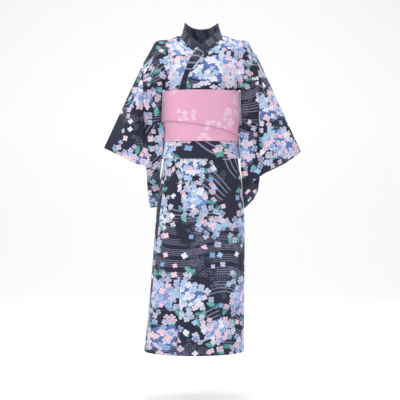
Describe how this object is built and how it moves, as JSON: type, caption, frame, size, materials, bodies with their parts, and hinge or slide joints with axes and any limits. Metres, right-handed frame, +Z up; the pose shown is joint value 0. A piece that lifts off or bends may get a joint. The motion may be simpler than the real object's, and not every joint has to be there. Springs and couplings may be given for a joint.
{
  "type": "cotton yukata robe with obi sash, worn form",
  "caption": "Light cotton yukata robe with a navy flower print, worn left over right and held by a wide pink sash, hollow and open at neck, cuffs and hem.",
  "frame": {"origin": "base of the neck, midway between the shoulders that carry the robe", "axes": "+Z up along the worn robe, -Y to the front, +X to the wearer's left"},
  "size_m": [0.7499, 0.2594, 1.2454],
  "materials": {
    "cotton_print": "matt plain-weave cotton, navy, printed with pale blue, lilac and pink flowers and teal leaves",
    "sash": "soft satin-weave sash, pink"
  },
  "bodies": {
    "root": {"body_left": "cotton_print", "body_right": "cotton_print", "okumi_left": "cotton_print", "collar": "cotton_print", "sleeve_left": "cotton_print", "sleeve_right": "cotton_print", "skirt_front_left": "cotton_print", "skirt_okumi_left": "cotton_print", "skirt_front_right": "cotton_print", "skirt_okumi_right": "cotton_print", "skirt_back_left": "cotton_print", "skirt_back_right": "cotton_print", "obi_lower_turn": "sash", "obi_upper_turn": "sash", "obi_end_left": "sash", "obi_end_right": "sash", "obi_knot": "sash"}
  },
  "joints": []
}
